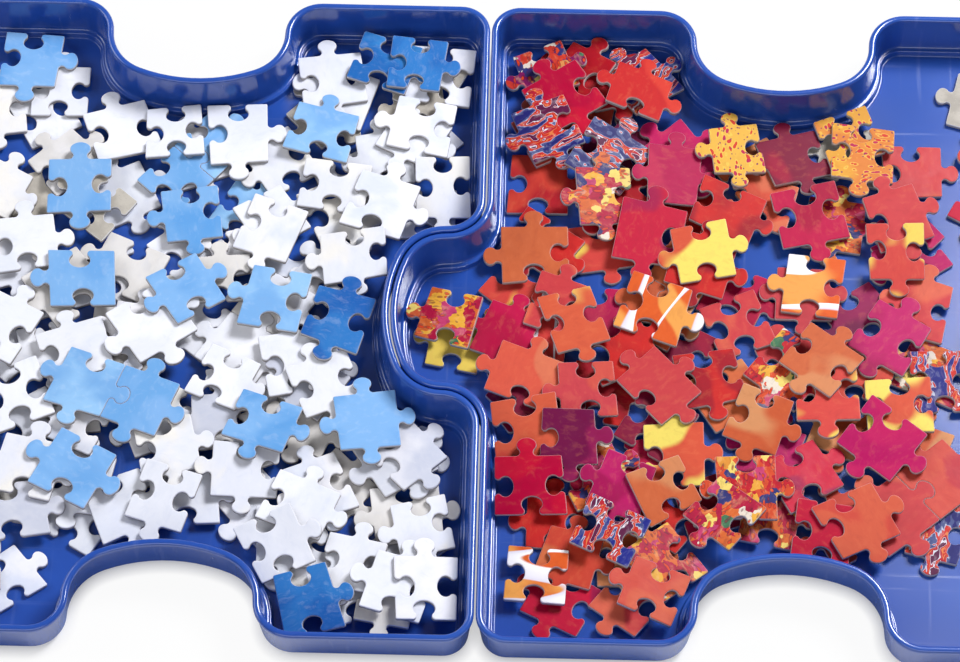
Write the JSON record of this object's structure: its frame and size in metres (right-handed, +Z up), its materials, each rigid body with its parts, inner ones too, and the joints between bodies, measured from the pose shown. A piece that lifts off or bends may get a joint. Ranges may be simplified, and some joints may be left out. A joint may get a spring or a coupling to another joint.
{
  "type": "jigsaw puzzle sorting tray set",
  "caption": "Puzzle-piece-shaped sorting trays whose tab and socket nest side by side, holding loose jigsaw pieces sorted by colour.",
  "frame": {"origin": "middle of the pair of trays, on the table", "axes": "+X along both trays towards the right one, +Y to the back, +Z up"},
  "size_m": [0.41, 0.225, 0.0185],
  "materials": {
    "tray_blue": "glossy moulded royal blue plastic",
    "piece_white": "printed paper laminated on board, satin",
    "piece_pale_grey": "printed paper laminated on board, satin",
    "piece_grey_back": "bare grey board, the back of a piece",
    "piece_light_blue": "printed paper laminated on board, satin",
    "piece_mid_blue": "printed paper laminated on board, satin",
    "piece_red": "printed paper laminated on board, satin",
    "piece_crimson": "printed paper laminated on board, satin",
    "piece_coral": "printed paper laminated on board, satin",
    "piece_orange": "printed paper laminated on board, satin",
    "piece_magenta": "printed paper laminated on board, satin",
    "piece_yellow": "printed paper laminated on board, satin",
    "piece_spotted": "printed paper laminated on board, satin",
    "piece_striped": "printed paper laminated on board, satin",
    "piece_mixed": "printed paper laminated on board, satin"
  },
  "bodies": {
    "left_case": {"left_tray": "tray_blue", "left_white_back_pieces": "piece_white", "left_white_middle_pieces": "piece_white", "left_white_front_pieces": "piece_white", "left_pale_grey_pieces": "piece_pale_grey", "left_grey_back_pieces": "piece_grey_back", "left_light_blue_pieces": "piece_light_blue", "left_mid_blue_pieces": "piece_mid_blue"},
    "right_case": {"right_tray": "tray_blue", "right_red_pieces": "piece_red", "right_crimson_pieces": "piece_crimson", "right_coral_pieces": "piece_coral", "right_orange_pieces": "piece_orange", "right_magenta_pieces": "piece_magenta", "right_yellow_pieces": "piece_yellow", "right_spotted_pieces": "piece_spotted", "right_striped_pieces": "piece_striped", "right_mixed_pieces": "piece_mixed", "right_white_pieces": "piece_white", "right_grey_back_pieces": "piece_grey_back"},
    "left_loose_back": {"left_loose_piece_back": "piece_light_blue"},
    "left_loose_front": {"left_loose_piece_front": "piece_light_blue"},
    "left_loose_corner": {"left_loose_piece_corner": "piece_white"},
    "right_loose_middle": {"right_loose_piece_middle": "piece_coral"},
    "right_loose_front": {"right_loose_piece_front": "piece_orange"},
    "right_loose_back": {"right_loose_piece_back": "piece_yellow"}
  },
  "joints": [
    {"name": "right_tray_lift", "type": "slide", "parent": "left_case", "child": "right_case", "axis": [0, 0, 1], "range_m": [0, 0.06]},
    {"name": "left_loose_piece_back_lift", "type": "slide", "parent": "left_case", "child": "left_loose_back", "axis": [0, 0, 1], "range_m": [0, 0.04]},
    {"name": "left_loose_piece_front_lift", "type": "slide", "parent": "left_case", "child": "left_loose_front", "axis": [0, 0, 1], "range_m": [0, 0.04]},
    {"name": "left_loose_piece_corner_lift", "type": "slide", "parent": "left_case", "child": "left_loose_corner", "axis": [0, 0, 1], "range_m": [0, 0.04]},
    {"name": "right_loose_piece_middle_lift", "type": "slide", "parent": "right_case", "child": "right_loose_middle", "axis": [0, 0, 1], "range_m": [0, 0.04]},
    {"name": "right_loose_piece_front_lift", "type": "slide", "parent": "right_case", "child": "right_loose_front", "axis": [0, 0, 1], "range_m": [0, 0.04]},
    {"name": "right_loose_piece_back_lift", "type": "slide", "parent": "right_case", "child": "right_loose_back", "axis": [0, 0, 1], "range_m": [0, 0.04]}
  ]
}
